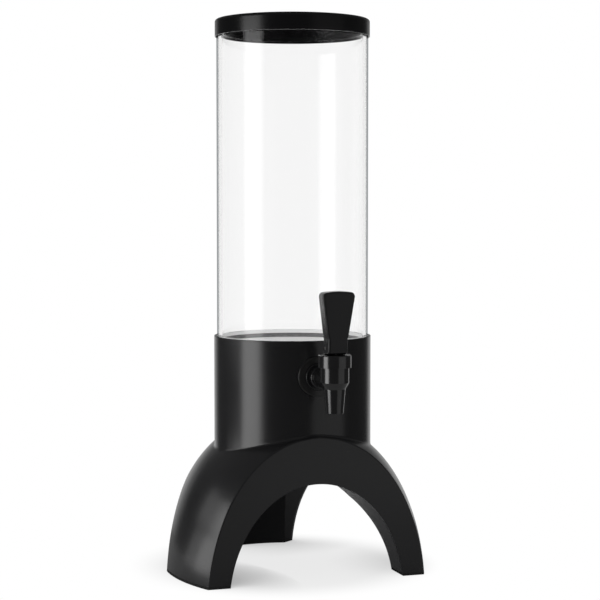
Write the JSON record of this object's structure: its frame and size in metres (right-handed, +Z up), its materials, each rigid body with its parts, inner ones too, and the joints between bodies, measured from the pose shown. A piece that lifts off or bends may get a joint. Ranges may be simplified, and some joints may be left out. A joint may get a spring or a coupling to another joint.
{
  "type": "beverage tower",
  "caption": "Table-top beverage tower: a clear cylinder with a lift-off lid on an arched black stand, drained by a lever tap at the front.",
  "frame": {"origin": "at the level of the table, midway between the front of the tap and the back of the rear leg; the tube's axis is 4.2 mm behind it", "axes": "+Z up along the tube, -Y to the front where the tap is, +X to the right as seen from the front"},
  "size_m": [0.22, 0.2384, 0.471],
  "materials": {
    "black_stand": "fine moulded satin",
    "black_liner": "moulded matt",
    "black_lid": "polished",
    "black_tap": "semi-gloss moulded",
    "clear_acrylic": "clear polished",
    "silicone": "matt",
    "foot_rubber": "matt",
    "steel": "bright drawn"
  },
  "bodies": {
    "stand": {"stand_shell": "black_stand", "vault_liner": "black_liner", "liner_screws": "steel", "foot_pad_left": "foot_rubber", "foot_pad_right": "foot_rubber", "foot_pad_rear": "foot_rubber", "reservoir_tube": "clear_acrylic", "tube_floor": "clear_acrylic", "tap_body": "black_tap", "tap_flange": "black_tap", "outer_gasket": "silicone", "inner_gasket": "silicone", "inner_washer": "black_tap", "tap_nut": "black_tap", "bonnet": "black_tap", "return_spring": "steel"},
    "lid": {"lid": "black_lid"},
    "stem": {"stem": "black_tap", "seat_cup": "silicone"},
    "handle": {"handle": "black_tap", "handle_pin": "steel"}
  },
  "joints": [
    {"name": "lid_lift", "type": "slide", "parent": "stand", "child": "lid", "axis": [0, 0, 1], "range_m": [0, 0.06]},
    {"name": "stem_lift", "type": "slide", "parent": "stand", "child": "stem", "axis": [0, 0, 1], "range_m": [0, 0.003], "deforming": ["return_spring"]},
    {"name": "handle_tilt", "type": "hinge", "parent": "stem", "child": "handle", "pos_m": [0, -0.1058, 0.1986], "axis": [1, 0, 0], "range_deg": [0, 40], "stiffness_Nm_per_rad": 0.0166, "springref_deg": -106.57}
  ],
  "couplings": [
    {"joint": "stem_lift", "follows": "handle_tilt", "m_per_rad": 0.0043}
  ]
}
